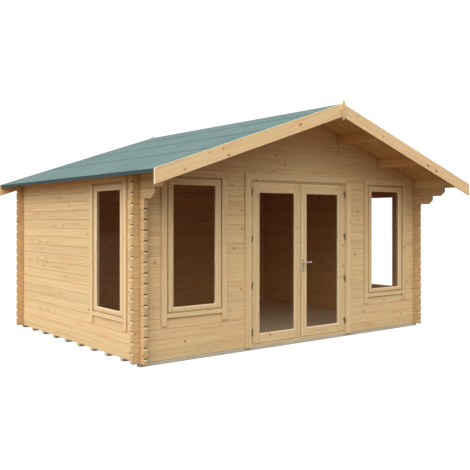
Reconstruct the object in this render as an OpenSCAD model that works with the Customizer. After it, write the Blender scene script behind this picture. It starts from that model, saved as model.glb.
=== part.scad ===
// Log cabin with an apex roof, a glazed double door, four tall windows and a deep front canopy.
// Millimetres. +Z is up with the ground at Z = 0, the door faces -Y, and X runs across the width.
// The origin is under the middle of the whole cabin, roof overhangs included.

/* [Cabin] */
// Width over the outer faces of the side walls
cabin_w = 4710; // [4000:10:6000]
// Depth over the outer faces of the front and rear walls
cabin_d = 3434; // [2400:2:5000]

/* [Logs] */
// Height of one log course
log_h = 114; // [95:1:140]
// Thickness of the wall logs
log_t = 44; // [28:1:70]
// Length of the log ends past the wall that they cross
log_end = 92; // [60:1:150]
// Courses in the front wall from its foot to the head of the door and windows
wall_courses = 18; // [16:1:21]
// Depth of the V groove along each log joint
groove_d = 4; // [1:0.5:6]
// Depth of the notch at each joint on the log ends
end_notch = 15; // [4:1:20]

/* [Corbels] */
// Reach of the lower corbel log in front of the wall
corbel_low_reach = 302; // [200:1:400]
// Reach of the upper corbel log in front of the wall
corbel_high_reach = 507; // [420:1:600]
// Length of the slanted cut under each corbel end
corbel_cut = 66; // [20:1:100]

/* [Base] */
// Number of bearers under the floor
bearer_count = 10; // [5:1:14]
// Width of a bearer
bearer_w = 60; // [40:1:100]
// Height of a bearer
bearer_h = 38; // [30:1:80]
// Thickness of the floor boards
floor_t = 19; // [15:1:32]
// Gap round the edge of the floor
floor_gap = 3; // [1:1:12]

/* [Roof] */
// Slope of the roof in degrees
roof_pitch = 18.8; // [14:0.1:22]
// Front wall to the face of the front bargeboards
front_overhang = 735; // [650:5:1000]
// Rear wall to the face of the rear bargeboards
rear_overhang = 235; // [150:5:400]
// Side wall to the edge of the roof boards
eaves_overhang = 240; // [180:5:400]
// Height of the outer face of the wall plate
plate_h = 108; // [95:1:140]
// Thickness of the roof boards
board_t = 19; // [15:1:28]
// Thickness of one layer of felt
felt_t = 3; // [2:0.5:5]
// Length of felt turned down over the eaves
felt_drop = 38; // [24:1:60]
// How far the ridge strip of felt reaches down each slope
ridge_strip = 470; // [250:10:700]
// Width that one strip of felt shows
felt_show = 695; // [500:5:900]
// Width of the overlap between strips
felt_lap = 75; // [50:5:150]
// Clearance between the ridge strip and the felt that it lies on
felt_seat = 0.1; // [0.05:0.05:0.5]

/* [Purlins] */
// Thickness of the purlins
purlin_t = 44; // [38:1:70]
// Depth of the purlins on their deeper side
purlin_depth = 130; // [100:1:180]
// Middle of the upper purlins from the ridge line
upper_purlin_x = 696; // [500:1:900]
// Middle of the lower purlins from the ridge line
lower_purlin_x = 1509; // [1200:1:1700]

/* [Bargeboards] */
// Width of the bargeboards square to their edges
barge_w = 149; // [100:1:200]
// Thickness of the bargeboards
barge_t = 18; // [15:1:28]
// How far the bargeboards stand above the felt
barge_rise = 6; // [0:1:20]
// How far the bargeboards run past the roof boards at the eaves
barge_past = 16; // [5:1:40]
// Height of the diamond finial
finial_h = 245; // [150:5:320]
// Width of the diamond finial
finial_w = 102; // [60:2:160]
// Height of the finial's tip above the bargeboards
finial_rise = 43; // [20:1:80]

/* [Windows] */
// Width of a window opening in the logs
window_w = 811; // [600:1:900]
// Courses below a window opening
window_sill_courses = 4; // [3:1:8]
// Middle of a side window behind the front wall
side_window_y = 720; // [650:5:1100]
// How far a front window stands towards the corner from the middle of its wall
front_window_shift = 8; // [0:1:30]
// Width of the fixed window frame in the opening
window_frame_w = 48; // [35:1:60]
// Height of the foot of the fixed window frame
window_foot = 70; // [60:1:90]
// Width of the sash members
sash_w = 58; // [45:1:80]
// Height of the foot of the sash
sash_foot = 36; // [30:1:60]
// How far the sash stands out of the wall
sash_out = 12; // [0:1:18]
// Thickness of the sash
sash_t = 44; // [30:1:56]
// Thickness of the glass
glass_t = 4; // [3:1:8]
// Depth of the glass behind the face of a sash or door leaf
glass_in = 6; // [3:1:12]

/* [Trim] */
// Width of the trim boards beside a window
trim_w = 70; // [60:1:100]
// Width of the trim boards beside the doors
door_trim_w = 90; // [70:1:120]
// Thickness of the trim boards
trim_t = 20; // [12:1:28]
// Height of the head trim boards
head_trim_h = 81; // [60:1:110]
// Height of the board below a window
sill_trim_h = 47; // [35:1:80]
// Drop of the side trims below the sill board
trim_ear = 83; // [0:1:110]
// Width of window frame left showing between sash and trim
trim_gap = 20; // [1:1:25]

/* [Doors] */
// Width of one door leaf
leaf_w = 800; // [650:5:850]
// Thickness of a door leaf
leaf_t = 40; // [32:1:40]
// How far the leaves and their frame stand out of the wall
leaf_out = 2; // [0:1:12]
// Width of the door stiles at the hinges
stile_w = 109; // [70:1:140]
// Width of the door stiles where the leaves meet
meet_stile_w = 93; // [84:1:140]
// Height of the top rail of a leaf
top_rail_h = 119; // [80:1:200]
// Height of the bottom rail of a leaf
bottom_rail_h = 102; // [80:1:300]
// Clearance between the leaves and their frame
leaf_gap = 5; // [3:0.5:8]
// Clearance between the two leaves
meet_gap = 8; // [6:0.5:12]
// Thickness of the door frame
jamb_t = 45; // [35:1:60]
// How far the door stop stands out of the frame
stop_w = 12; // [8:1:20]
// Thickness of the door stop
stop_t = 7; // [5:1:20]
// Height of the threshold
threshold_h = 35; // [20:1:60]
// Width of frame left showing beside the trim
jamb_show = 20; // [18:1:30]

/* [Hinges] */
// Number of hinges on a leaf
hinge_count = 4; // [2:1:5]
// Middle of the lowest hinge above the foot of the leaf
hinge_low = 137; // [80:1:300]
// Distance between hinges
hinge_pitch = 566; // [300:1:600]
// Length of one knuckle
knuckle_l = 40; // [25:1:60]
// Radius of the knuckles
knuckle_r = 5; // [4.5:0.5:8]
// Radius of the hinge pins
pin_r = 3; // [2:0.5:3.5]
// How far a pin stops short of the top of its knuckle
pin_short = 6; // [3:1:10]
// Running clearance round a pin
pin_gap = 0.05; // [0.02:0.01:0.1]
// Thickness of the hinge plates
hinge_plate_t = 2.5; // [1.5:0.5:4]
// Width of the hinge plates
hinge_plate_w = 14; // [10:1:18]

/* [Handle] */
// Height of the lever above the ground
lever_z = 1032; // [900:1:1150]
// Middle of the handle plate from the meeting edge of the leaf
handle_backset = 38; // [25:1:60]
// Height of the handle plate
handle_plate_h = 165; // [120:1:240]
// Width of the handle plate
handle_plate_w = 32; // [24:1:44]
// Thickness of the handle plate
handle_plate_t = 4; // [3:0.5:8]
// Drop from the lever to the middle of the plate
handle_drop = 39; // [0:1:60]
// Length of the lever
lever_l = 112; // [90:1:140]
// Radius of the lever bar
lever_r = 8; // [6:0.5:11]
// Distance from the leaf to the middle of the lever bar
lever_reach = 46; // [35:1:60]
// Radius of the spindle
spindle_r = 6; // [4:0.5:7]
// Clearance round the spindle inside the leaf
spindle_gap = 4; // [2:0.5:6]
// How far the collars and the knob at the neck stand out past the lever bar
collar_rim = 1; // [0.5:0.5:3]

/* [Hidden] */

half_w = cabin_w / 2;
// The overhangs differ, so the walls are shifted to keep the origin in the middle
front_y = (front_overhang - rear_overhang - cabin_d) / 2;
rear_y = front_y + cabin_d;

base_z = bearer_h;
door_top = base_z + wall_courses * log_h;
plate_z = door_top - log_h / 2;
corbel_z = plate_z - 2 * log_h;
sill_z = base_z + window_sill_courses * log_h;
window_h = door_top - sill_z;

slope = tan(roof_pitch);
eaves_x = half_w + eaves_overhang;
board_rise = board_t / cos(roof_pitch);
felt_rise = felt_t / cos(roof_pitch);
barge_h = barge_w / cos(roof_pitch);
roof_front_y = front_y - front_overhang + barge_t;
roof_rear_y = rear_y + rear_overhang - barge_t;
roof_l = roof_rear_y - roof_front_y;
barge_x = eaves_x + barge_past;

// Height of the underside of the roof boards at a distance from the ridge line
function roof_under(x) = plate_z + plate_h + (half_w - x) * slope;
function felt_top(x) = roof_under(x) + board_rise + felt_rise;
function barge_top(x) = felt_top(x) + barge_rise;
// A height above every log, where walls are cut off by the roof
tall_z = roof_under(0) + log_h;

door_half = leaf_w + leaf_gap + meet_gap / 2 + jamb_t;
clear_half = door_half - jamb_t;
leaf_face = front_y - leaf_out;
leaf_z = base_z + threshold_h + leaf_gap;
leaf_h = door_top - jamb_t - leaf_gap - leaf_z;
leaf_glass_w = leaf_w - stile_w - meet_stile_w;
leaf_glass_h = leaf_h - top_rail_h - bottom_rail_h;

// The hinge line stands in the gap beside the leaf, just clear of its face
hinge_x = clear_half - leaf_gap / 2;
hinge_clear = 1;
hinge_y = leaf_face - knuckle_r - hinge_clear;
pin_l = knuckle_l - pin_short;

handle_x = meet_gap / 2 + handle_backset;
leaf_back = leaf_face + leaf_t;

sash_ring = window_frame_w + sash_w;
window_glass_w = window_w - 2 * sash_ring;
window_glass_z = window_foot + sash_foot;
window_glass_h = window_h - sash_ring - window_glass_z;
trim_in = window_w / 2 - window_frame_w + trim_gap;
trim_out = trim_in + trim_w;
// The door trims leave a strip of frame showing beside them
door_trim_in = clear_half + jamb_show;
door_trim_out = door_trim_in + door_trim_w;
// The wall beside the doorway runs from the door trim to the corner of the cabin
front_window_x = (door_trim_out + half_w) / 2 + front_window_shift;

timber = "burlywood";
frame_timber = "wheat";
steel = "silver";

// ---------- helpers ----------

// Cross-section of a stack of logs: X across the wall from its outer face, Y up.
// joint_z is the height of any one joint.
function joints(joint_z, low, high) =
    [for (z = joint_z + ceil((low - joint_z) / log_h) * log_h; z < high; z = z + log_h) z];

module log_section(joint_z, low, high) {
    levels = joints(joint_z, low, high);
    outer = [for (z = levels) each [[0, z - groove_d], [groove_d, z], [0, z + groove_d]]];
    inner = [for (i = [len(levels) - 1 : -1 : 0])
        each [[log_t, levels[i] + groove_d], [log_t - groove_d, levels[i]],
              [log_t, levels[i] - groove_d]]];
    bottom = low - 2 * groove_d;
    top = high + 2 * groove_d;
    polygon(concat([[0, bottom]], outer, [[0, top], [log_t, top]], inner, [[log_t, bottom]]));
}

// Points up the free end of a stack of logs at x, notched towards inward (+1 or -1)
function notched_end(x, inward, joint_z, low, high) =
    [for (z = joints(joint_z, low + end_notch, high - end_notch))
        each [[x, z - end_notch], [x + inward * end_notch, z], [x, z + end_notch]]];

function reversed(points) = [for (i = [len(points) - 1 : -1 : 0]) points[i]];

// A wall along +X from x = 0 to length, its outer face at y = 0, cut to an elevation outline
module log_panel(length, joint_z, low, high) {
    intersection() {
        rotate([90, 0, 90]) linear_extrude(length) log_section(joint_z, low, high);
        translate([0, 2 * log_t, 0]) rotate([90, 0, 0]) linear_extrude(3 * log_t) children();
    }
}

// The notches that let two walls cross: half a course high, one at every joint of the wall.
// The wall that crosses it keeps those halves.
module crossing_notches(x, joint_z) {
    for (z = joints(joint_z, base_z - log_h, tall_z))
        translate([x, 0, z - log_h / 4]) cube([log_t, log_t, log_h / 2]);
}

module place_front() translate([0, front_y, 0]) children();
module place_rear() translate([0, rear_y, 0]) rotate([0, 0, 180]) children();
module mirrored() mirror([1, 0, 0]) children();

// Extrudes a front-view outline (x, z) from y = from to y = to
module front_view(from, to) translate([0, to, 0]) rotate([90, 0, 0]) linear_extrude(to - from) children();

// The space under the roof boards, as a front-view outline reaching down to low
module under_roof(low) {
    reach = half_w + log_end + eaves_overhang;
    polygon([[-reach, low], [reach, low], [reach, roof_under(reach)], [0, roof_under(0)],
             [-reach, roof_under(reach)]]);
}

// ---------- base ----------

module floor_bearers() {
    pitch = (cabin_d - bearer_w) / (bearer_count - 1);
    color("darkkhaki")
        for (i = [0 : bearer_count - 1])
            translate([-half_w, front_y + i * pitch, 0]) cube([cabin_w, bearer_w, bearer_h]);
}

module floor_boards() {
    inset = log_t + floor_gap;
    // The door frame is deeper than the logs, and the floor stops clear of both
    front_inset = frame_back + floor_gap;
    color(timber)
        translate([-half_w + inset, front_y + front_inset, bearer_h])
            cube([cabin_w - 2 * inset, cabin_d - inset - front_inset, floor_t]);
}

// ---------- walls ----------

// The left wall runs from its rear log ends (u = 0) to its front log ends, u along -Y.
side_l = cabin_d + 2 * log_end;
side_joint = base_z + log_h / 2;
// Along the wall from its rear log ends
side_front_u = log_end + cabin_d;
side_win_front_u = side_front_u - side_window_y + window_w / 2;
side_win_rear_u = side_win_front_u - window_w;
side_sill_z = sill_z - log_h / 2;

module side_wall() {
    rear_end = notched_end(0, 1, side_joint, base_z, plate_z);
    front_end = notched_end(side_l, -1, side_joint, base_z, corbel_z);
    difference() {
        log_panel(side_l, side_joint, base_z, plate_z)
            polygon(concat(
                [[side_l, base_z]], front_end, [[side_l, corbel_z], [side_win_front_u, corbel_z],
                [side_win_front_u, side_sill_z], [side_win_rear_u, side_sill_z],
                [side_win_rear_u, plate_z], [0, plate_z]], reversed(rear_end), [[0, base_z]]));
        // The side logs give way where the front and rear logs keep their middle halves
        for (x = [log_end, side_l - log_end - log_t]) crossing_notches(x, side_joint);
    }
}

module place_side()
    translate([-half_w, rear_y + log_end, 0]) rotate([0, 0, -90]) children();

module left_wall() color(timber) place_side() side_wall();
module right_wall() color(timber) mirrored() place_side() side_wall();

// Two logs that run out in front of the wall, each with a slanted cut under its end
module corbel() {
    low_tip = side_front_u + corbel_low_reach;
    high_tip = side_front_u + corbel_high_reach;
    mid_z = corbel_z + log_h;
    cut_z = log_h / 2;
    difference() {
        log_panel(high_tip, side_joint, corbel_z, plate_z)
            polygon([[side_win_front_u, corbel_z], [low_tip - corbel_cut, corbel_z],
                     [low_tip, corbel_z + cut_z], [low_tip, mid_z], [high_tip - corbel_cut, mid_z],
                     [high_tip, mid_z + cut_z], [high_tip, plate_z], [side_win_front_u, plate_z]]);
        crossing_notches(side_l - log_end - log_t, side_joint);
    }
}

module left_corbel() color(timber) place_side() corbel();
module right_corbel() color(timber) mirrored() place_side() corbel();

// The top side log: it carries the eaves and runs from bargeboard to bargeboard
module wall_plate() {
    outline = [[-half_w, plate_z], [-half_w + log_t, plate_z],
               [-half_w + log_t, roof_under(half_w - log_t)], [-half_w, roof_under(half_w)]];
    notch_z = plate_z - log_h / 4;
    difference() {
        front_view(roof_front_y, roof_rear_y) polygon(outline);
        for (y = [front_y, rear_y - log_t])
            translate([-half_w, y, notch_z]) {
                cube([log_t, log_t, log_h / 2]);
                translate([0, 0, log_h]) cube([log_t, log_t, log_h]);
            }
    }
}

module left_wall_plate() color(timber) wall_plate();
module right_wall_plate() color(timber) mirrored() wall_plate();

// The front and rear logs run the full width with their own ends past the side walls
front_l = cabin_w + 2 * log_end;

module end_crossings() {
    for (x = [-half_w, half_w - log_t]) crossing_notches(x, base_z);
}

// Where the purlins pass through a gable, open at the top
module purlin_slots() {
    ridge_outline(log_h);
    for (x = [upper_purlin_x, lower_purlin_x]) {
        purlin_outline(x, log_h);
        mirrored() purlin_outline(x, log_h);
    }
}

module front_wall_side() {
    outer = -half_w - log_end;
    win_out = -front_window_x - window_w / 2;
    win_in = win_out + window_w;
    outline = concat(
        [[outer + end_notch, base_z], [-door_half, base_z], [-door_half, door_top],
         [win_in, door_top], [win_in, sill_z], [win_out, sill_z], [win_out, door_top],
         [outer + end_notch, door_top], [outer, door_top - end_notch]],
        reversed(notched_end(outer, 1, base_z, base_z + end_notch, door_top - end_notch)),
        [[outer, base_z + end_notch]]);
    difference() {
        translate([-half_w - log_end, 0, 0])
            log_panel(front_l, base_z, base_z, door_top)
                translate([half_w + log_end, 0]) polygon(outline);
        end_crossings();
    }
}

module front_wall_left() color(timber) place_front() front_wall_side();
module front_wall_right() color(timber) place_front() mirrored() front_wall_side();

// A full-width stack of logs from low up to the roof
module gable_panel(low) {
    outer = half_w + log_end;
    right_end = notched_end(outer, -1, base_z, low, tall_z);
    left_end = notched_end(-outer, 1, base_z, low, tall_z);
    difference() {
        translate([-outer, 0, 0])
            log_panel(front_l, base_z, low, tall_z)
                translate([outer, 0])
                    intersection() {
                        polygon(concat([[outer - end_notch, low], [outer, low + end_notch]],
                            right_end, [[outer, tall_z], [-outer, tall_z]], reversed(left_end),
                            [[-outer, low + end_notch], [-outer + end_notch, low]]));
                        under_roof(low);
                    }
        end_crossings();
        front_view(-log_t, 2 * log_t) purlin_slots();
    }
}

module front_gable() color(timber) place_front() gable_panel(door_top);
module rear_wall() color(timber) place_rear() gable_panel(base_z);

// ---------- roof ----------

// A purlin on the left slope, its top planed to the boards, or raised above them by lift
module purlin_outline(x, lift = 0) {
    inner = x - purlin_t / 2;
    outer = x + purlin_t / 2;
    bottom = roof_under(inner) - purlin_depth;
    polygon([[-outer, bottom], [-inner, bottom], [-inner, roof_under(inner) + lift],
             [-outer, roof_under(outer) + lift]]);
}

module ridge_outline(lift = 0) {
    side = purlin_t / 2;
    bottom = roof_under(0) - purlin_depth;
    polygon([[-side, bottom], [side, bottom], [side, roof_under(side) + lift],
             [0, roof_under(0) + lift], [-side, roof_under(side) + lift]]);
}

module slope_purlins()
    for (x = [upper_purlin_x, lower_purlin_x])
        front_view(roof_front_y, roof_rear_y) purlin_outline(x);

module ridge_purlin() color(timber) front_view(roof_front_y, roof_rear_y) ridge_outline();
module left_purlins() color(timber) slope_purlins();
module right_purlins() color(timber) mirrored() slope_purlins();

module roof_boards()
    front_view(roof_front_y, roof_rear_y)
        polygon([[-eaves_x, roof_under(eaves_x)], [0, roof_under(0)],
                 [0, roof_under(0) + board_rise], [-eaves_x, roof_under(eaves_x) + board_rise]]);

module left_roof_boards() color("peru") roof_boards();
module right_roof_boards() color("peru") mirrored() roof_boards();

// Strips of felt from the eaves up: each laps over the one below, which shows as a low step
strip_edges = [for (x = ridge_strip + felt_show; x < eaves_x - felt_show / 3; x = x + felt_show) x];

module felt() {
    steps = [for (x = strip_edges)
        each [[-(x - felt_lap), felt_top(x - felt_lap)],
              [-(x - felt_lap), felt_top(x - felt_lap) + felt_rise],
              [-x, felt_top(x) + felt_rise], [-x, felt_top(x)]]];
    edge = eaves_x + felt_t;
    front_view(roof_front_y, roof_rear_y)
        polygon(concat([[0, felt_top(0)]], steps,
            [[-edge, felt_top(edge)], [-edge, felt_top(edge) - felt_drop],
             [-eaves_x, felt_top(edge) - felt_drop], [-eaves_x, felt_top(eaves_x) - felt_rise],
             [0, felt_top(0) - felt_rise]]));
}

module left_felt() color("cadetblue") felt();
module right_felt() color("cadetblue") mirrored() felt();

// The strip over the ridge, lying on the felt of both slopes
module ridge_felt() {
    x = ridge_strip;
    edge_z = felt_top(x) + felt_seat;
    crown_z = felt_top(0) + felt_seat;
    color("cadetblue")
        front_view(roof_front_y, roof_rear_y)
            polygon([[-x, edge_z], [0, crown_z], [x, edge_z],
                     [x, edge_z + felt_rise], [0, crown_z + felt_rise], [-x, edge_z + felt_rise]]);
}

module bargeboard(from)
    front_view(from, from + barge_t)
        polygon([[0, barge_top(0)], [-barge_x, barge_top(barge_x)],
                 [-barge_x, barge_top(barge_x) - barge_h], [0, barge_top(0) - barge_h]]);

front_barge_y = front_y - front_overhang;
rear_barge_y = roof_rear_y;

module front_left_bargeboard() color(frame_timber) bargeboard(front_barge_y);
module front_right_bargeboard() color(frame_timber) mirrored() bargeboard(front_barge_y);
module rear_left_bargeboard() color(frame_timber) bargeboard(rear_barge_y);
module rear_right_bargeboard() color(frame_timber) mirrored() bargeboard(rear_barge_y);

module finial(from) {
    top = barge_top(0) + finial_rise;
    middle = top - finial_h / 2;
    front_view(from, from + barge_t)
        polygon([[0, top], [-finial_w / 2, middle], [0, top - finial_h], [finial_w / 2, middle]]);
}

module front_finial() color(frame_timber) finial(front_barge_y - barge_t);
module rear_finial() color(frame_timber) finial(rear_barge_y + barge_t);

// ---------- windows ----------

// A window seen from outside: x = 0 is its middle, y = 0 the wall face, z = 0 the opening's foot
module ring(width, height, member, foot, from, to) {
    difference() {
        translate([-width / 2, from, 0]) cube([width, to - from, height]);
        translate([-width / 2 + member, from - 1, foot])
            cube([width - 2 * member, to - from + 2, height - member - foot]);
    }
}

module window_frame() ring(window_w, window_h, window_frame_w, window_foot, 0, log_t);

module window_sash()
    translate([0, 0, window_foot])
        ring(window_w - 2 * window_frame_w, window_h - window_frame_w - window_foot, sash_w,
             sash_foot, -sash_out, sash_t - sash_out);

module window_pane()
    translate([-window_glass_w / 2, glass_in - sash_out, window_glass_z])
        cube([window_glass_w, glass_t, window_glass_h]);

// Side boards run below the board under the sash, and the head board closes the top
module window_trim() {
    sill_top = window_foot - trim_gap;
    head_z = window_h - window_frame_w + trim_gap;
    foot = sill_top - sill_trim_h - trim_ear;
    for (x = [-trim_out, trim_in])
        translate([x, -trim_t, foot]) cube([trim_w, trim_t, head_z - foot]);
    translate([-trim_out, -trim_t, head_z]) cube([2 * trim_out, trim_t, head_trim_h]);
    translate([-trim_in, -trim_t, sill_top - sill_trim_h]) cube([2 * trim_in, trim_t, sill_trim_h]);
}

module at_front_window() translate([-front_window_x, front_y, sill_z]) children();
module at_side_window()
    translate([-half_w, front_y + side_window_y, side_sill_z]) rotate([0, 0, -90]) children();

module front_left_window() color(frame_timber) at_front_window() window_frame();
module front_right_window() color(frame_timber) mirrored() at_front_window() window_frame();
module left_side_window() color(frame_timber) at_side_window() window_frame();
module right_side_window() color(frame_timber) mirrored() at_side_window() window_frame();

module front_windows() {
    at_front_window() children();
    mirrored() at_front_window() children();
}

module side_windows() {
    at_side_window() children();
    mirrored() at_side_window() children();
}

module all_windows() {
    front_windows() children();
    side_windows() children();
}

module front_sashes() color(frame_timber) front_windows() window_sash();
module side_sashes() color(frame_timber) side_windows() window_sash();

module window_glass() color("lightblue", 0.4) all_windows() window_pane();
module window_trims() color(frame_timber) all_windows() window_trim();

// ---------- doorway ----------

stop_y = leaf_t - leaf_out + leaf_gap;
frame_back = max(log_t, stop_y + stop_t);
show_z = door_top - jamb_t + jamb_show;

// A frame member as a section: x into the opening, y inwards from the wall face.
// Only the edge that shows beside the trim stands out of the wall, and the stop is behind the leaf.
module frame_section(depth, show)
    polygon([[0, 0], [depth - show, 0], [depth - show, -leaf_out], [depth, -leaf_out],
             [depth, stop_y], [depth + stop_w, stop_y], [depth + stop_w, frame_back],
             [0, frame_back]]);

// The stops of head and threshold run between those of the jambs
module stop_ends(z, height)
    translate([-door_half + jamb_t, front_y + stop_y - 1, z])
        cube([2 * stop_w, frame_back, height]);

module door_jamb() {
    difference() {
        translate([-door_half, front_y, base_z])
            linear_extrude(door_top - base_z) frame_section(jamb_t, jamb_show);
        stop_ends(base_z - 1, threshold_h + stop_w + 1);
        stop_ends(door_top - jamb_t - stop_w, jamb_t + stop_w + 1);
        translate([-door_half, front_y - leaf_out - 1, show_z])
            cube([jamb_t + 1, leaf_out + 1, jamb_t]);
    }
}

module left_door_jamb() color(frame_timber) door_jamb();
module right_door_jamb() color(frame_timber) mirrored() door_jamb();

module door_head()
    color(frame_timber)
        translate([clear_half, front_y, door_top])
            rotate([0, 90, 180]) mirror([0, 1, 0])
                linear_extrude(2 * clear_half) frame_section(jamb_t, jamb_show);

module door_threshold()
    color(frame_timber)
        translate([-clear_half, front_y, base_z])
            rotate([0, -90, 0]) mirror([0, 0, 1])
                linear_extrude(2 * clear_half) frame_section(threshold_h, threshold_h);

module door_side_trims() {
    color(frame_timber)
        for (x = [-door_trim_out, door_trim_in])
            translate([x, front_y - trim_t, base_z])
                cube([door_trim_w, trim_t, show_z - base_z]);
}

module door_head_trim() {
    width = 2 * door_trim_out;
    color(frame_timber)
        translate([-width / 2, front_y - trim_t, show_z])
            cube([width, trim_t, head_trim_h]);
}

// ---------- doors ----------

// The left leaf: stiles and rails round one pane
module door_leaf() {
    difference() {
        translate([-meet_gap / 2 - leaf_w, leaf_face, leaf_z]) cube([leaf_w, leaf_t, leaf_h]);
        translate([-meet_gap / 2 - leaf_w + stile_w, leaf_face - 1, leaf_z + bottom_rail_h])
            cube([leaf_glass_w, leaf_t + 2, leaf_glass_h]);
    }
}

module leaf_pane()
    translate([-meet_gap / 2 - leaf_w + stile_w, leaf_face + glass_in, leaf_z + bottom_rail_h])
        cube([leaf_glass_w, glass_t, leaf_glass_h]);

// A hole through the leaf for the spindle
module spindle_hole(radius, from, to)
    translate([handle_x, to, lever_z]) rotate([90, 0, 0]) cylinder(r = radius, h = to - from, $fn = 48);

module left_door_leaf() color(frame_timber) door_leaf();
module right_door_leaf()
    color(frame_timber)
        difference() {
            mirrored() door_leaf();
            spindle_hole(spindle_r + spindle_gap, leaf_face - 1, leaf_back + 1);
        }
module left_door_glass() color("lightblue", 0.4) leaf_pane();
module right_door_glass() color("lightblue", 0.4) mirrored() leaf_pane();

hinge_levels = [for (i = [0 : hinge_count - 1]) leaf_z + hinge_low + i * hinge_pitch];

// Lower half of a hinge on the frame, with the pin standing in it
module frame_knuckle() {
    translate([-hinge_x, hinge_y, -knuckle_l]) cylinder(r = knuckle_r, h = knuckle_l, $fn = 48);
    translate([-hinge_x, hinge_y, -1]) cylinder(r = pin_r, h = pin_l + 1, $fn = 48);
    translate([-hinge_x - hinge_plate_w, leaf_face - hinge_plate_t, -knuckle_l])
        cube([hinge_plate_w - leaf_gap / 2, hinge_plate_t, knuckle_l]);
}

// Upper half of a hinge on the leaf, bored for the pin
module leaf_knuckle() {
    lift = 0.3;
    difference() {
        union() {
            translate([-hinge_x, hinge_y, lift]) cylinder(r = knuckle_r, h = knuckle_l - lift, $fn = 48);
            translate([-hinge_x + leaf_gap / 2, leaf_face - hinge_plate_t, lift])
                cube([hinge_plate_w, hinge_plate_t, knuckle_l - lift]);
        }
        translate([-hinge_x, hinge_y, -1]) cylinder(r = pin_r + pin_gap, h = pin_l + 2, $fn = 48);
    }
}

module at_hinges() for (z = hinge_levels) translate([0, 0, z]) children();

module frame_hinges()
    color(steel) {
        at_hinges() frame_knuckle();
        mirrored() at_hinges() frame_knuckle();
    }
module left_door_hinges() color(steel) at_hinges() leaf_knuckle();
module right_door_hinges() color(steel) mirrored() at_hinges() leaf_knuckle();

// A plate on each face of the right leaf
module handle_plates() {
    low = lever_z - handle_drop - handle_plate_h / 2;
    color(steel)
        difference() {
            for (y = [leaf_face - handle_plate_t, leaf_back])
                translate([handle_x - handle_plate_w / 2, y, low])
                    cube([handle_plate_w, handle_plate_t, handle_plate_h]);
            spindle_hole(spindle_r + pin_gap, leaf_face - 2 * handle_plate_t,
                         leaf_back + 2 * handle_plate_t);
        }
}

// The lever outside, the lever inside and the spindle that joins them
module door_lever() {
    collar_gap = 0.3;
    outer_y = leaf_face - lever_reach;
    inner_y = leaf_back + lever_reach;
    collar_l = lever_reach - handle_plate_t - collar_gap;
    color(steel) {
        spindle_hole(spindle_r, outer_y, inner_y);
        for (side = [[outer_y, outer_y + collar_l], [inner_y - collar_l, inner_y]])
            spindle_hole(lever_r + collar_rim, side[0], side[1]);
        for (y = [outer_y, inner_y])
            translate([handle_x, y, lever_z]) {
                rotate([0, 90, 0]) cylinder(r = lever_r, h = lever_l - lever_r, $fn = 48);
                sphere(r = lever_r + collar_rim, $fn = 48);
                translate([lever_l - lever_r, 0, 0]) sphere(r = lever_r, $fn = 48);
            }
    }
}

// ---------- drawing ----------

floor_bearers();
floor_boards();
left_wall();
right_wall();
rear_wall();
front_wall_left();
front_wall_right();
front_gable();
left_corbel();
right_corbel();
left_wall_plate();
right_wall_plate();
ridge_purlin();
left_purlins();
right_purlins();
left_roof_boards();
right_roof_boards();
left_felt();
right_felt();
ridge_felt();
front_left_bargeboard();
front_right_bargeboard();
rear_left_bargeboard();
rear_right_bargeboard();
front_finial();
rear_finial();
left_door_jamb();
right_door_jamb();
door_head();
door_threshold();
door_side_trims();
door_head_trim();
left_door_leaf();
right_door_leaf();
left_door_glass();
right_door_glass();
frame_hinges();
left_door_hinges();
right_door_hinges();
handle_plates();
door_lever();
front_left_window();
front_right_window();
left_side_window();
right_side_window();
front_sashes();
side_sashes();
window_glass();
window_trims();
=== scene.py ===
import math
import bpy
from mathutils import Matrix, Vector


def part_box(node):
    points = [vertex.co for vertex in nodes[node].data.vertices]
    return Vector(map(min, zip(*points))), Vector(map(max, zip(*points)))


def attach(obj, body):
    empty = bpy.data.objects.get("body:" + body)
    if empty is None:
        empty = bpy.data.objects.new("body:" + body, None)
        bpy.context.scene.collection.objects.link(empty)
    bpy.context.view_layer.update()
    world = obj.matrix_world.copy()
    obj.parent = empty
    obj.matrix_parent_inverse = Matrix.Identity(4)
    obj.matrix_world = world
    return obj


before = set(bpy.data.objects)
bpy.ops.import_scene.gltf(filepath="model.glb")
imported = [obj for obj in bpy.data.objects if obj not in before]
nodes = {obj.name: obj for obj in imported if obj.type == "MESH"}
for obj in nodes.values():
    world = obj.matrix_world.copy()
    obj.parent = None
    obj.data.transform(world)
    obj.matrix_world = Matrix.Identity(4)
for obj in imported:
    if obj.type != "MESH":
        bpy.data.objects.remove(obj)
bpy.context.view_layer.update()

# ---------- sizes, in metres ----------

# The bearers reach as far as the wall faces
walls_low, walls_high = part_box("floor_bearers")
FRONT_Y, REAR_Y, HALF_W = walls_low.y, walls_high.y, walls_high.x
# Cover of one log course, foot of the first one and foot of the wall plates
LOG_H = 0.114
BASE_Z = 0.038
PLATE_Z = 2.033
PITCH = math.radians(18.8)
BARGE_W = 0.149
# Foot of the bargeboards, measured square to the slope
BARGE_V = 2.972 * math.cos(PITCH) - BARGE_W
# Where the felt turns down at the eaves, and where each strip of it ends
EAVES_X = HALF_W + 0.2405
FELT_EDGES = (0.470, 1.165, 1.860)
# Members round a window's pane, and the strip of frame left between sash and trim
SASH_W = 0.058
SASH_RING = 0.048 + SASH_W
TRIM_GAP = 0.020
# Thickness of a sash and of a door leaf, and how deep the faces of their panes lie
SASH_T = 0.044
LEAF_T = 0.040
PANE_OUTER, PANE_INNER = 0.006, 0.010


# ---------- node trees ----------

def rgb(r, g, b):
    """A linear colour from 0-255 sRGB numbers."""
    def line(c):
        c /= 255
        return c / 12.92 if c <= 0.04045 else ((c + 0.055) / 1.055) ** 2.4
    return (line(r), line(g), line(b), 1.0)


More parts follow.
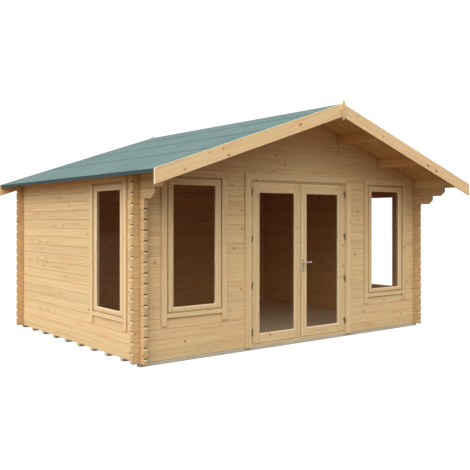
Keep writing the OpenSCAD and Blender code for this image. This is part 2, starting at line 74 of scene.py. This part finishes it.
class Num:
    """A number worked out by nodes, for sums in plain Python. A comparison gives 1 or 0."""

    def __init__(self, tree, socket):
        self.tree, self.socket = tree, socket

    def __add__(self, other):
        return self.tree.math("ADD", self, other)

    def __sub__(self, other):
        return self.tree.math("SUBTRACT", self, other)

    def __rsub__(self, other):
        return self.tree.math("SUBTRACT", other, self)

    def __mul__(self, other):
        return self.tree.math("MULTIPLY", self, other)

    def __truediv__(self, other):
        return self.tree.math("DIVIDE", self, other)

    def __pow__(self, other):
        return self.tree.math("POWER", self, other)

    def __lt__(self, other):
        return self.tree.math("LESS_THAN", self, other)

    def __gt__(self, other):
        return self.tree.math("GREATER_THAN", self, other)

    def __abs__(self):
        return self.tree.math("ABSOLUTE", self)


class Tree:
    """Fills a node tree. A value is a Num, a socket, or a plain number or tuple."""

    def __init__(self, node_tree):
        self.tree = node_tree
        self.tree.nodes.clear()
        self.object_co = None

    def add(self, kind, links=(), **settings):
        n = self.tree.nodes.new(kind)
        for key, value in settings.items():
            setattr(n, key, value)
        for socket, value in dict(links).items():
            self.put(n.inputs[socket], value)
        return n

    def put(self, socket, value):
        if isinstance(value, Num):
            value = value.socket
        if isinstance(value, bpy.types.NodeSocket):
            self.tree.links.new(value, socket)
        elif value is not None:
            socket.default_value = value

    def math(self, operation, a, b=None, c=None, clamp=False):
        n = self.add("ShaderNodeMath", operation=operation, use_clamp=clamp)
        for socket, value in zip(n.inputs, (a, b, c)):
            self.put(socket, value)
        return Num(self, n.outputs[0])

    def smooth(self, value, low, high, to_low=0.0, to_high=1.0):
        """to_low below low, to_high above high, with a soft step between them."""
        n = self.add("ShaderNodeMapRange", {"Value": value, "From Min": low, "From Max": high,
                                            "To Min": to_low, "To Max": to_high},
                     interpolation_type="SMOOTHSTEP")
        return Num(self, n.outputs["Result"])

    def within(self, value, low, high):
        return (value > low) * (value < high)

    def split(self, vector):
        n = self.add("ShaderNodeSeparateXYZ", {"Vector": vector})
        return {axis: Num(self, socket) for axis, socket in zip("XYZ", n.outputs)}

    def split_colour(self, colour):
        n = self.add("ShaderNodeSeparateColor", {"Color": colour})
        return [Num(self, socket) for socket in n.outputs]

    def vector(self, x, y, z):
        return self.add("ShaderNodeCombineXYZ", {"X": x, "Y": y, "Z": z}).outputs[0]

    def xyz(self):
        """Where the point is on the object. Every node's origin is the cabin's."""
        if self.object_co is None:
            self.object_co = self.split(self.add("ShaderNodeTexCoord").outputs["Object"])
        return self.object_co

    def facing(self):
        return self.split(self.add("ShaderNodeNewGeometry").outputs["Normal"])

    def noise(self, vector, scale, detail=2.0, rough=0.5):
        n = self.add("ShaderNodeTexNoise", {"Vector": vector, "Scale": scale, "Detail": detail,
                                            "Roughness": rough})
        return Num(self, n.outputs["Fac"])

    def crevice(self, reach):
        """0 on open faces, up to 1 deep in a corner or a gap."""
        n = self.add("ShaderNodeAmbientOcclusion", {"Distance": reach}, samples=6)
        return self.smooth(n.outputs["AO"], 0.30, 0.80, 1.0, 0.0)

    def pick(self, amount, a, b):
        n = self.add("ShaderNodeMix", data_type="FLOAT")
        for i, value in ((0, amount), (2, a), (3, b)):
            self.put(n.inputs[i], value)
        return Num(self, n.outputs[0])

    def mix(self, amount, a, b, blend="MIX"):
        n = self.add("ShaderNodeMix", data_type="RGBA", blend_type=blend)
        for i, value in ((0, amount), (6, a), (7, b)):
            self.put(n.inputs[i], value)
        return n.outputs[2]

    def blend(self, amount, a, b):
        n = self.add("ShaderNodeMixShader", {"Fac": amount, 1: a.outputs[0], 2: b.outputs[0]})
        return n.outputs[0]


class Material(Tree):
    def __init__(self, name):
        self.material = bpy.data.materials.new(name)
        self.material.use_nodes = True
        super().__init__(self.material.node_tree)

    def finish(self, shader):
        self.add("ShaderNodeOutputMaterial", {"Surface": shader})
        return self.material

    def surface(self, colour, rough, height, bump, distance, metallic=0.0):
        relief = self.add("ShaderNodeBump", {"Height": height, "Strength": bump,
                                             "Distance": distance})
        shader = self.add("ShaderNodeBsdfPrincipled", {
            "Base Color": colour, "Roughness": rough, "Metallic": metallic,
            "Normal": relief.outputs[0]})
        return self.finish(shader.outputs[0])


# ---------- timber ----------

# Light and dark wood of each kind of board
WALL = (rgb(238, 205, 150), rgb(210, 168, 106))
FRAME = (rgb(240, 209, 156), rgb(214, 174, 116))
BARGE = (rgb(246, 211, 156), rgb(222, 178, 116))
ROOF = (rgb(226, 180, 120), rgb(192, 140, 82))
FLOOR = (rgb(238, 218, 186), rgb(214, 188, 148))
BEARER = (rgb(206, 200, 178), rgb(168, 160, 134))
# the beads' wood is paler, a painted highlight on their slopes
BEAD_HIGHLIGHT = (rgb(252, 230, 186), rgb(232, 200, 150))

FLUSH = rgb(226, 160, 108)
KNOT_HALO, KNOT, KNOT_HEART = rgb(222, 160, 96), rgb(176, 112, 56), rgb(112, 62, 28)
JOINT_LINE, RAIL_SEAM = rgb(84, 54, 30), rgb(96, 64, 36)
# painted highlight on sawn edges, painted shade under the notches and in corners and gaps
SAWN_EDGE_HIGHLIGHT, UNDERCUT_SHADE, CREVICE_SHADE = rgb(255, 246, 218), rgb(88, 56, 30), rgb(104, 68, 36)
FELT_LIP = rgb(92, 118, 114)
# Painted shade on the crossed log ends and in the room: what these multiply the wood's colour by
CORNER_SHADE_TINT = (0.80, 0.74, 0.68, 1.0)
INDOOR_SHADE = (0.95, 0.80, 0.64, 1.0)

RING_PITCH = 0.0055
# How far a board's pith may lie from its middle, and the widest knot
PITH_SPREAD = 0.16
KNOT_SIZE = 0.019
JOINT_W = 0.0025
LIP_H = 0.012


def indoors(t):
    """1 inside the room, where painted shade makes the wood darker and redder, as in its own
    reflected light.
    """
    p = t.xyz()
    across = abs(p["X"]) < HALF_W - 0.03
    along = t.within(p["Y"], FRONT_Y + 0.04, REAR_Y - 0.03)
    return across * along * (p["Z"] > BASE_Z + 0.03)


def knots_in(t, u, v, w, centre, pitch, per_metre, size, offset):
    """Masks for a knot, its dark heart and the stained wood round it, one chance of a knot in
    each stretch of a board."""
    run = u * per_metre + offset
    cell = t.add("ShaderNodeTexVoronoi", {"W": run, "Scale": 1.0}, voronoi_dimensions="1D")
    place, chance, _ = t.split_colour(cell.outputs["Color"])
    du = (run - cell.outputs["W"]) / per_metre
    dv = v - (centre + (place - 0.5) * (0.7 * pitch))
    radius = t.math("MAXIMUM", chance - 0.35, 0.0) * (KNOT_SIZE * size)
    wobble = t.noise(t.vector(u, v, w), 90.0, 1.0) * 0.004
    away = t.math("SQRT", du * (du * 0.55) + dv * dv) + (wobble - 0.002)
    knot = t.smooth(away, radius * 0.75, radius + 0.0005, 1.0, 0.0)
    heart = t.smooth(away, 0.0, radius * 0.6, 1.0, 0.0) * knot
    halo = t.smooth(away, radius, radius * 2.6, 1.0, 0.0) * (radius > 0.0005)
    return knot, heart, halo


def edge_highlight_and_shade(t, colour, axes, v, depth, start, pitch, on_slope, edge_highlight):
    """Painted highlight on sawn faces turned up to the light, which are paler wood too. On a
    slope it covers only the front boards and takes in their cut ends, and the felt is dressed up
    the inside of the rear boards; elsewhere painted shade darkens the undercuts."""
    n = t.facing()
    square = abs(n[depth]) < 0.3
    # painted highlight on the faces turned up towards the light
    light = t.within(n["Z"], 0.2, 0.99) * square
    if on_slope:
        at_front = axes["Y"] < 0.0
        light = t.math("MAXIMUM", light, abs(n["X"]) > 0.99) * at_front
        lip = t.within(n["Y"], -2.0, -0.5) * (v > start + pitch - LIP_H) * (axes["Y"] > 0.0)
        colour = t.mix(lip, colour, FELT_LIP)
    else:
        # painted shade under the notches
        under = t.within(n["Z"], -0.74, -0.6) * square
        colour = t.mix(under * 0.85, colour, UNDERCUT_SHADE)
    return t.mix(light * edge_highlight, colour, SAWN_EDGE_HIGHLIGHT)


def timber(name, wood, along, across, depth, pitch=LOG_H, start=0.0, seed=0.0, knots=1.0,
           knots_per_metre=3.4, joint=0.0, tone=0.05, turn=0.0, rails=None, crevice_shade=0.6,
           edge_highlight=0.0, corner_shade=0.0):
    """Planed softwood in boards: along the grain, across it (boards of width pitch from start)
    and through it. turn slants the grain in the X-Z plane, for boards along a roof slope.
    rails(tree, axes) gives two masks: where the grain runs across instead, and its joint lines.
    joint darkens the lines between boards, and crevice_shade paints shade into the corners and
    gaps.
    edge_highlight paints a highlight on sawn faces turned up to the light, which are paler wood
    too, and corner_shade paints shade on the crossed log ends."""
    t = Material(name)
    axes = dict(t.xyz())
    if turn:
        c, s = math.cos(turn), math.sin(turn)
        x, z = axes["X"], axes["Z"]
        axes["X"], axes["Z"] = x * c + z * s, z * c - x * s
    u, v, w = axes[along], axes[across], axes[depth]
    if rails:
        level, seam = rails(t, axes)
        u, v = t.pick(level, u, v), t.pick(level, v, u)
    place = (v - start) / pitch
    board, inside = t.math("FLOOR", place), t.math("FRACT", place)
    centre = (board + 0.5) * pitch + start
    # the side of the cabin is in the draw, so that two walls of one node differ
    draw = t.add("ShaderNodeTexWhiteNoise", {
        "Vector": t.vector(board, t.math("SIGN", w) + seed, 0.0)}, noise_dimensions="3D")
    r1, r2, r3 = t.split_colour(draw.outputs["Color"])
    shift = r3 * 30.0

    def grain(stretch, fine, offset=0.0, rough=0.5):
        """Noise drawn out along the board."""
        return t.noise(t.vector(u * stretch + offset, v * fine, w * fine), 1.0, 2.0, rough)

    knot, heart, halo = knots_in(t, u, v, w, centre, pitch, knots_per_metre, knots, shift * 1.7)
    # growth rings round a pith that lies inside or beside each board, bent round the knots
    dv = v - (centre + (r1 - 0.5) * PITH_SPREAD)
    dw = abs(t.math("WRAP", w, 0.05, -0.05)) - (r2 - 0.3) * 0.07
    radius = t.math("SQRT", dv * dv + dw * dw) + grain(0.9, 7.0, shift) * 0.05 + halo * 0.006
    late = t.math("FRACT", radius / RING_PITCH) ** 3.0
    fibre = grain(5.0, 260.0, rough=0.6)
    shade = late * 0.30 + (fibre - 0.5) * 0.35 + (grain(1.1, 38.0, shift) - 0.42) * 1.15
    colour = t.mix(t.math("ADD", shade, halo * 0.25, clamp=True), *wood)
    colour = t.mix(t.smooth(grain(1.6, 16.0, shift * 2.3), 0.56, 0.74, 0.0, 0.40), colour, FLUSH)
    colour = t.mix(halo * 0.40, colour, KNOT_HALO)
    # each board has a tone of its own
    level = t.smooth(r2, 0.0, 1.0, 1.0 - tone, 1.0 + tone * 0.6)
    own = t.vector(level, level * t.smooth(r1, 0.0, 1.0, 0.985, 1.01), level)
    colour = t.mix(1.0, colour, own, "MULTIPLY")
    colour = t.mix(knot * 0.8, colour, KNOT)
    colour = t.mix(heart * 0.6, colour, KNOT_HEART)
    if joint:
        near = (0.5 - abs(inside - 0.5)) * pitch
        line = t.smooth(near, JOINT_W * 0.4, JOINT_W * 1.6, joint, 0.0)
        colour = t.mix(line, colour, JOINT_LINE)
    if rails:
        colour = t.mix(seam * 0.7, colour, RAIL_SEAM)
    if edge_highlight:
        colour = edge_highlight_and_shade(t, colour, axes, v, depth, start, pitch, bool(turn), edge_highlight)
    if corner_shade:
        # painted shade: the wood darkens towards the crossed log ends at the corners
        if along == "X":
            past = t.smooth(abs(axes["X"]), HALF_W - 0.16, HALF_W - 0.03, 0.0, corner_shade)
        else:
            past = t.smooth(axes["Y"], FRONT_Y + 0.01, FRONT_Y + 0.06, corner_shade, 0.0)
        colour = t.mix(past, colour, t.mix(1.0, colour, CORNER_SHADE_TINT, "MULTIPLY"))
    # painted shade: corners, gaps and contact lines darkened by ambient occlusion
    if crevice_shade:
        colour = t.mix(t.crevice(0.04) * crevice_shade, colour, CREVICE_SHADE)
    # painted shade in the room: the wood is darker and redder there
    colour = t.mix(indoors(t), colour, t.mix(1.0, colour, INDOOR_SHADE, "MULTIPLY"))
    height = late * -0.5 + fibre * 0.8 + knot * 0.5
    return t.surface(colour, fibre * 0.12 + 0.56, height, bump=0.25, distance=0.0006)


# Where each pane is: (middle, half width, lowest, highest) along its wall
panes = {}
for name, axis in (("front_right_window", 0), ("left_side_window", 1)):
    low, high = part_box(name)
    panes[name] = ((low[axis] + high[axis]) / 2, (high[axis] - low[axis]) / 2 - SASH_RING,
                   low.z + SASH_RING, high.z - SASH_RING)
low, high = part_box("right_door_glass")
panes["right_door_leaf"] = ((low.x + high.x) / 2, (high.x - low.x) / 2, low.z, high.z)


def off_middle(axis, middle, axes):
    """Distance along the wall from a pane's middle. Front panes mirror each other."""
    along = abs(axes["X"]) if axis == "X" else axes["Y"]
    return abs(along - middle)


def rails_of(axis, pane):
    """Rails run level between the stiles of a leaf or sash, on both sides of the cabin."""
    middle, half, low, high = pane

    def masks(t, axes):
        off = off_middle(axis, middle, axes)
        in_rail = 1.0 - t.within(axes["Z"], low - 0.001, high + 0.001)
        return off < half, t.smooth(abs(off - half), 0.0004, 0.0014, 1.0, 0.0) * in_rail
    return masks


def surround(axis, pane):
    """Window trim: upright side boards, level boards above and below."""
    middle, half, low, high = pane
    inner = half + SASH_W + TRIM_GAP
    head = high + SASH_W + TRIM_GAP

    def masks(t, axes):
        level = t.math("MAXIMUM", off_middle(axis, middle, axes) < inner, axes["Z"] > head)
        return level, t.smooth(abs(axes["Z"] - head), 0.0005, 0.0016, 1.0, 0.0)
    return masks


front_logs = timber("front_logs", WALL, "X", "Z", "Y", start=BASE_Z, seed=1.0, joint=0.06,
                    edge_highlight=0.7, crevice_shade=0.42, corner_shade=0.9)
side_logs = timber("side_logs", WALL, "Y", "Z", "X", start=BASE_Z + LOG_H / 2, seed=5.0,
                   joint=0.22, edge_highlight=0.7, crevice_shade=0.5, corner_shade=0.9)
plate_logs = timber("plate_logs", WALL, "Y", "Z", "X", pitch=0.2, start=PLATE_Z - 0.05, seed=8.0)
purlin_wood = timber("purlin_wood", ROOF, "Y", "Z", "X", pitch=0.4, start=1.9, seed=11.0)
roof_wood = timber("roof_wood", ROOF, "X", "Y", "Z", pitch=0.096, seed=14.0, joint=0.8,
                   tone=0.10)
floor_wood = timber("floor_wood", FLOOR, "Y", "X", "Z", pitch=0.106, seed=17.0, joint=0.7)
slope_right, slope_left = [
    timber(name, BARGE, "X", "Z", "Y", pitch=BARGE_W, start=BARGE_V, seed=seed, turn=turn,
           knots=1.5, knots_per_metre=5.0, edge_highlight=0.8, crevice_shade=0.0)
    for name, seed, turn in (("slope_right", 20.0, -PITCH), ("slope_left", 24.0, PITCH))]
upright_front = timber("upright_front", FRAME, "Z", "X", "Y", pitch=0.107, seed=26.0, knots=0.8)
level_front = timber("level_front", FRAME, "X", "Z", "Y", pitch=0.12, seed=32.0, knots=1.1)
bearer_wood = timber("bearer_wood", BEARER, "X", "Y", "Z", pitch=0.3749, start=FRONT_Y,
                     seed=35.0, knots=0.8)
door_wood = timber("door_wood", FRAME, "Z", "X", "Y", pitch=0.107, seed=38.0, knots=0.9,
                   rails=rails_of("X", panes["right_door_leaf"]))
front_sash = timber("front_sash", FRAME, "Z", "X", "Y", pitch=0.107, seed=41.0, knots=0.7,
                    crevice_shade=0.5, rails=rails_of("X", panes["front_right_window"]))
side_sash = timber("side_sash", FRAME, "Z", "Y", "X", pitch=0.107, seed=44.0, knots=0.7,
                   crevice_shade=0.5, rails=rails_of("Y", panes["left_side_window"]))
front_trim = timber("front_trim", FRAME, "Z", "X", "Y", pitch=0.125, seed=47.0, knots=0.9,
                    rails=surround("X", panes["front_right_window"]))
# painted highlight: paler wood for the glazing beads
bead_highlight_wood = timber("bead_highlight_wood", BEAD_HIGHLIGHT, "Z", "X", "Y", pitch=0.05, seed=50.0, knots=0.3, crevice_shade=0.0)


# ---------- felt, glass and metal ----------

def felt_material():
    t = Material("green_felt")
    p = t.xyz()
    co = t.vector(p["X"], p["Y"], p["Z"])
    grit = t.add("ShaderNodeTexVoronoi", {"Vector": co, "Scale": 420.0})
    grain, dark_grain, _ = t.split_colour(grit.outputs["Color"])
    colour = t.mix(grain, rgb(82, 114, 110), rgb(136, 155, 145))
    colour = t.mix(t.smooth(dark_grain, 0.86, 0.9), colour, rgb(50, 76, 76))
    # coarser clumps of grit, and slow changes along each strip
    clump = t.smooth(t.noise(co, 34.0, 3.0, 0.7), 0.35, 0.65)
    slow = t.smooth(t.noise(co, 2.6, 3.0), 0.3, 0.7)
    colour = t.mix(clump * 0.48, colour, rgb(80, 108, 106))
    colour = t.mix(slow * 0.22, colour, rgb(142, 161, 150))
    # the free edge of each strip throws a thin shadow on the next
    across = abs(p["X"])
    for edge in FELT_EDGES:
        line = t.smooth(abs(across - (edge + 0.004)), 0.002, 0.008, 0.75, 0.0)
        colour = t.mix(line, colour, rgb(46, 60, 60))
    # painted shade: the felt turned down past the eaves is darkened
    colour = t.mix((across > EAVES_X) * 0.85, colour, rgb(34, 58, 57))
    return t.surface(colour, 0.93, grit.outputs["Distance"], bump=0.5, distance=0.001)


def glass_material():
    """Clear to the camera. Less light gets through to the room, so the room stays dark."""
    t = Material("clear_glass")
    seen = t.add("ShaderNodeLightPath").outputs["Is Camera Ray"]
    tint = t.mix(seen, (0.88, 0.85, 0.80, 1.0), (0.994, 0.997, 0.994, 1.0))
    clear = t.add("ShaderNodeBsdfTransparent", {"Color": tint})
    gloss = t.add("ShaderNodeBsdfGlossy", {"Color": (1, 1, 1, 1), "Roughness": 0.03})
    facing = Num(t, t.add("ShaderNodeLayerWeight", {"Blend": 0.5}).outputs["Facing"])
    return t.finish(t.blend(facing ** 5.0 * 0.6 + 0.006, clear, gloss))


def steel_material(name, base, rough, metal):
    t = Material(name)
    p = t.xyz()
    brushed = t.noise(t.vector(p["X"] * 60.0, p["Y"] * 60.0, p["Z"] * 900.0), 1.0)
    smudge = t.noise(t.vector(p["X"], p["Y"], p["Z"]), 25.0)
    colour = t.mix(t.smooth(brushed, 0.3, 0.7, 0.0, 0.3), base, rgb(120, 120, 120))
    return t.surface(colour, (smudge - 0.5) * 0.16 + rough, brushed, bump=0.08,
                     distance=0.0003, metallic=metal)


felt = felt_material()
glass = glass_material()
lever_steel = steel_material("lever_steel", rgb(252, 249, 240), 0.38, 0.35)
handle_steel = steel_material("handle_steel", rgb(206, 200, 184), 0.42, 0.55)
hinge_steel = steel_material("hinge_steel", rgb(140, 118, 90), 0.45, 1.0)
# painted shade: dark bars stand for the hollows of the key slot and screw slots
slot_shade = steel_material("slot_shade", rgb(40, 36, 32), 0.6, 0.3)


def paint(material, *names):
    for name in names:
        o = nodes[name]
        if not o.data.materials:
            o.data.materials.append(material)
        for s in o.material_slots:
            s.link = "OBJECT"
            s.material = material


paint(bearer_wood, "floor_bearers")
paint(floor_wood, "floor_boards")
paint(side_logs, "left_wall", "right_wall", "left_corbel", "right_corbel")
paint(front_logs, "front_wall_left", "front_wall_right", "front_gable", "rear_wall")
paint(plate_logs, "left_wall_plate", "right_wall_plate")
paint(purlin_wood, "ridge_purlin", "left_purlins", "right_purlins")
paint(roof_wood, "left_roof_boards", "right_roof_boards")
paint(felt, "left_felt", "right_felt", "ridge_felt")
paint(slope_left, "front_left_bargeboard", "rear_left_bargeboard")
paint(slope_right, "front_right_bargeboard", "rear_right_bargeboard")
paint(upright_front, "front_finial", "rear_finial", "left_door_jamb", "right_door_jamb",
      "door_side_trims")
paint(door_wood, "left_door_leaf", "right_door_leaf")
paint(front_sash, "front_left_window", "front_right_window", "front_sashes")
paint(side_sash, "left_side_window", "right_side_window", "side_sashes")
paint(front_trim, "window_trims")
paint(level_front, "door_head", "door_threshold", "door_head_trim")
paint(glass, "window_glass", "left_door_glass", "right_door_glass")
paint(hinge_steel, "frame_hinges", "left_door_hinges", "right_door_hinges")
paint(handle_steel, "handle_plates")
paint(lever_steel, "door_lever")


# ---------- details ----------

def mesh_piece(name, parts, material, body):
    """One piece from parts, each a list of points and a list of faces."""
    points, faces = [], []
    for p, f in parts:
        faces += [tuple(i + len(points) for i in face) for face in f]
        points += p
    mesh = bpy.data.meshes.new(name)
    mesh.from_pydata(points, [], faces)
    mesh.materials.append(material)
    mesh.update()
    o = bpy.data.objects.new(name, mesh)
    bpy.context.scene.collection.objects.link(o)
    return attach(o, body)


BEAD_W, BEAD_LIP, BEAD_GAP = 0.011, 0.0015, 0.0002
# How far a bead stays below the face of its sash
BEAD_SHY = 0.0003


def bead_ring(place, half, low, high, glass, face):
    """A mitred glazing bead round a pane: a slope from the sash's face down to the glass.
    place(across, inwards, z) puts a point on the wall."""
    rings = []
    for inset, deep in ((BEAD_GAP, glass), (BEAD_W, glass), (BEAD_W, glass + BEAD_LIP),
                        (BEAD_LIP, face), (BEAD_GAP, face)):
        w, z0, z1 = half - inset, low + inset, high - inset
        rings.append([place(-w, deep, z0), place(w, deep, z0), place(w, deep, z1),
                      place(-w, deep, z1)])
    faces = []
    for r in range(len(rings)):
        for c in range(4):
            a, b = r * 4, ((r + 1) % len(rings)) * 4
            faces.append((a + c, a + (c + 1) % 4, b + (c + 1) % 4, b + c))
    return [p for ring in rings for p in ring], faces


def beads(place, pane, thick):
    """The outer and the inner bead of a pane in a sash or leaf that is thick."""
    return [bead_ring(place, *pane[1:], PANE_OUTER - BEAD_GAP, BEAD_SHY),
            bead_ring(place, *pane[1:], PANE_INNER + BEAD_GAP, thick - BEAD_SHY)]


def add_beads():
    front, flank, leaf = (panes[name] for name in (
        "front_right_window", "left_side_window", "right_door_leaf"))
    front_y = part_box("front_sashes")[0].y
    flank_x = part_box("side_sashes")[1].x
    leaf_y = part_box("right_door_leaf")[0].y
    fixed, moving = [], []
    for side, body in ((-1, "left_door"), (1, "right_door")):
        fixed += beads(lambda a, deep, z: (front[0] * side + a, front_y + deep, z), front, SASH_T)
        fixed += beads(lambda a, deep, z: (side * (flank_x - deep), flank[0] + a, z), flank,
                       SASH_T)
        moving.append((body, beads(
            lambda a, deep, z: (leaf[0] * side + a, leaf_y + deep, z), leaf, LEAF_T)))
    mesh_piece("beads_cabin", fixed, bead_highlight_wood, "cabin")
    for body, parts in moving:
        mesh_piece("beads_" + body, parts, bead_highlight_wood, body)


def dome(x, y, z, radius, height, way):
    """A low disc with a rounded edge on a face that looks along Y; way is -1 or +1."""
    steps = 20
    profile = ((radius, 0.0), (radius, 0.55 * height), (0.86 * radius, 0.9 * height),
               (0.6 * radius, height))
    turns = [2 * math.pi * i / steps for i in range(steps)]
    points = [(x + r * math.cos(turn), y + way * h, z + r * math.sin(turn))
              for r, h in profile for turn in turns]
    faces = []
    for k in range(len(profile) - 1):
        for i in range(steps):
            a, b = k * steps + i, k * steps + (i + 1) % steps
            faces.append((a, b, b + steps, a + steps))
    faces.append(tuple(range((len(profile) - 1) * steps, len(profile) * steps)))
    return points, faces


def bar(x, y, z, wide, deep, high):
    """A small bar with its long edges taken off."""
    c = min(wide, high) * 0.2
    a, b = wide / 2, high / 2
    outline = [(c - a, -b), (a - c, -b), (a, c - b), (a, b - c),
               (a - c, b), (c - a, b), (-a, b - c), (-a, c - b)]
    points = [(x + p, y + d, z + q) for d in (-deep / 2, deep / 2) for p, q in outline]
    faces = [tuple(range(8)), tuple(range(15, 7, -1))]
    faces += [(i, (i + 1) % 8, 8 + (i + 1) % 8, 8 + i) for i in range(8)]
    return points, faces


def add_lock():
    """Lock cylinder, its key slot and the plate screws, on both faces of the right leaf."""
    low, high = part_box("handle_plates")
    x = (low.x + high.x) / 2
    lock_z = low.z + 0.048
    metal, dark = [], []
    for y, way in ((low.y, -1), (high.y, 1)):
        metal.append(dome(x, y, lock_z, 0.0088, 0.0022, way))
        # the dark bars are painted shade in the key slot and screw slots
        dark.append(bar(x, y + way * 0.0022, lock_z, 0.0016, 0.0006, 0.0090))
        for z in (low.z + 0.012, high.z - 0.012):
            metal.append(dome(x, y, z, 0.0036, 0.0014, way))
            dark.append(bar(x, y + way * 0.0014, z, 0.0048, 0.0005, 0.0009))
    mesh_piece("lock_metal", metal, lever_steel, "right_door")
    mesh_piece("lock_slots", dark, slot_shade, "right_door")


add_lock()
add_beads()

# ---------- camera, floor and light ----------

scene = bpy.context.scene
camera = bpy.data.objects.new("camera", bpy.data.cameras.new("camera"))
scene.collection.objects.link(camera)
camera.location = (-6.003, -7.842, 1.598)
camera.rotation_euler = (math.radians(90), 0, math.radians(-37.76))
camera.data.lens = 52.06
camera.data.sensor_width = 36
camera.data.shift_y = -0.0358
camera.data.clip_end = 200
scene.camera = camera

scene.view_settings.view_transform = "Standard"


def stage_floor():
    """Near white to the camera with a faint shadow, and dull in the light it throws back."""
    r = 60
    mesh = bpy.data.meshes.new("floor")
    mesh.from_pydata([(-r, -r, 0), (r, -r, 0), (r, r, 0), (-r, r, 0)], [], [(0, 1, 2, 3)])
    o = bpy.data.objects.new("stage_floor", mesh)
    scene.collection.objects.link(o)
    t = Material("stage_floor")
    dull = t.add("ShaderNodeBsdfDiffuse", {"Color": (0.19, 0.14, 0.10, 1)})
    glow = t.add("ShaderNodeEmission", {"Color": (1, 1, 1, 1), "Strength": 0.95})
    pale = t.add("ShaderNodeAddShader", {0: dull.outputs[0], 1: glow.outputs[0]})
    seen = t.add("ShaderNodeLightPath").outputs["Is Camera Ray"]
    mesh.materials.append(t.finish(t.blend(seen, dull, pale)))


def studio():
    """A white backdrop, and a soft dome that is brightest high on the left of the door."""
    world = bpy.data.worlds.new("studio")
    scene.world = world
    world.use_nodes = True
    t = Tree(world.node_tree)
    way = t.add("ShaderNodeTexCoord").outputs["Generated"]

    def lobe(x, y, z, power, strength):
        length = math.hypot(x, y, z)
        dot = t.add("ShaderNodeVectorMath", {0: way, 1: (x / length, y / length, z / length)},
                    operation="DOT_PRODUCT").outputs["Value"]
        return t.math("MAXIMUM", dot, 0.0) ** power * strength

    light = lobe(-1.0, -0.22, 0.66, 3.0, 3.40) + lobe(0.0, -1.0, 0.65, 3.0, 1.30)
    light = light + lobe(0.0, 0.0, 1.0, 1.0, 0.25) + 0.07
    # little light comes from near the horizon, so the canopy and the room stay dark
    light = light * t.smooth(t.split(way)["Z"], -0.05, 0.5, 0.30, 1.0)
    dome_light = t.add("ShaderNodeBackground", {"Color": (0.97, 1.0, 1.06, 1), "Strength": light})
    back = t.add("ShaderNodeBackground", {"Color": (1, 1, 1, 1), "Strength": 1.1})
    seen = t.add("ShaderNodeLightPath").outputs["Is Camera Ray"]
    t.add("ShaderNodeOutputWorld", {"Surface": t.blend(seen, dome_light, back)})


stage_floor()
studio()
